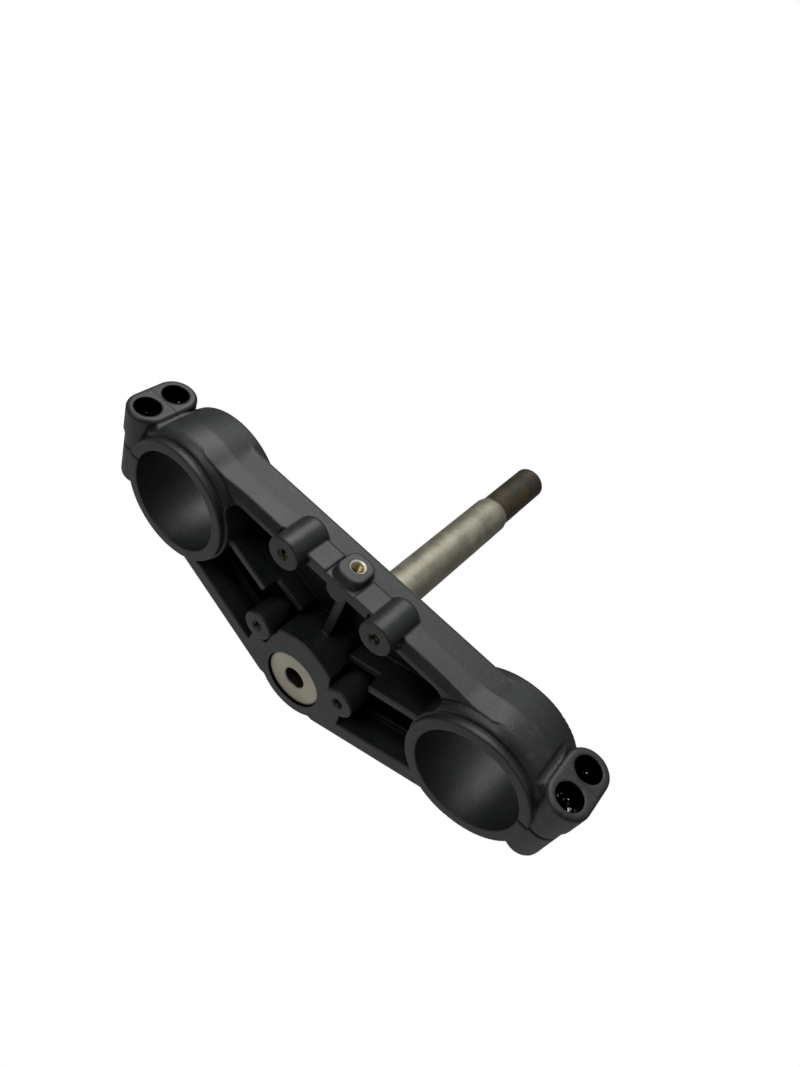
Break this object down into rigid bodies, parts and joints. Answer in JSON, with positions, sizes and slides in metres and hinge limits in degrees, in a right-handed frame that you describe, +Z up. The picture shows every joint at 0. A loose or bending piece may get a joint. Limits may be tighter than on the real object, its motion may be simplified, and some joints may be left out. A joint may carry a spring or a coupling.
{
  "type": "motorcycle triple clamp",
  "caption": "Lower fork yoke with split fork clamps at its ends, a ribbed underside with threaded bosses, and a hollow steering stem.",
  "frame": {"origin": "on the steering stem's axis, at the stem's lower face", "axes": "+Z up along the steering stem; -Y towards the front of the motorcycle; +X from one fork clamp to the other; the part rests on its fork collars at z = -0.0053"},
  "size_m": [0.2952, 0.1165, 0.2587],
  "materials": {
    "yoke": "satin black",
    "stem": "worn bare steel"
  },
  "bodies": {
    "root": {"yoke": "yoke", "steering_stem": "stem"}
  },
  "joints": []
}
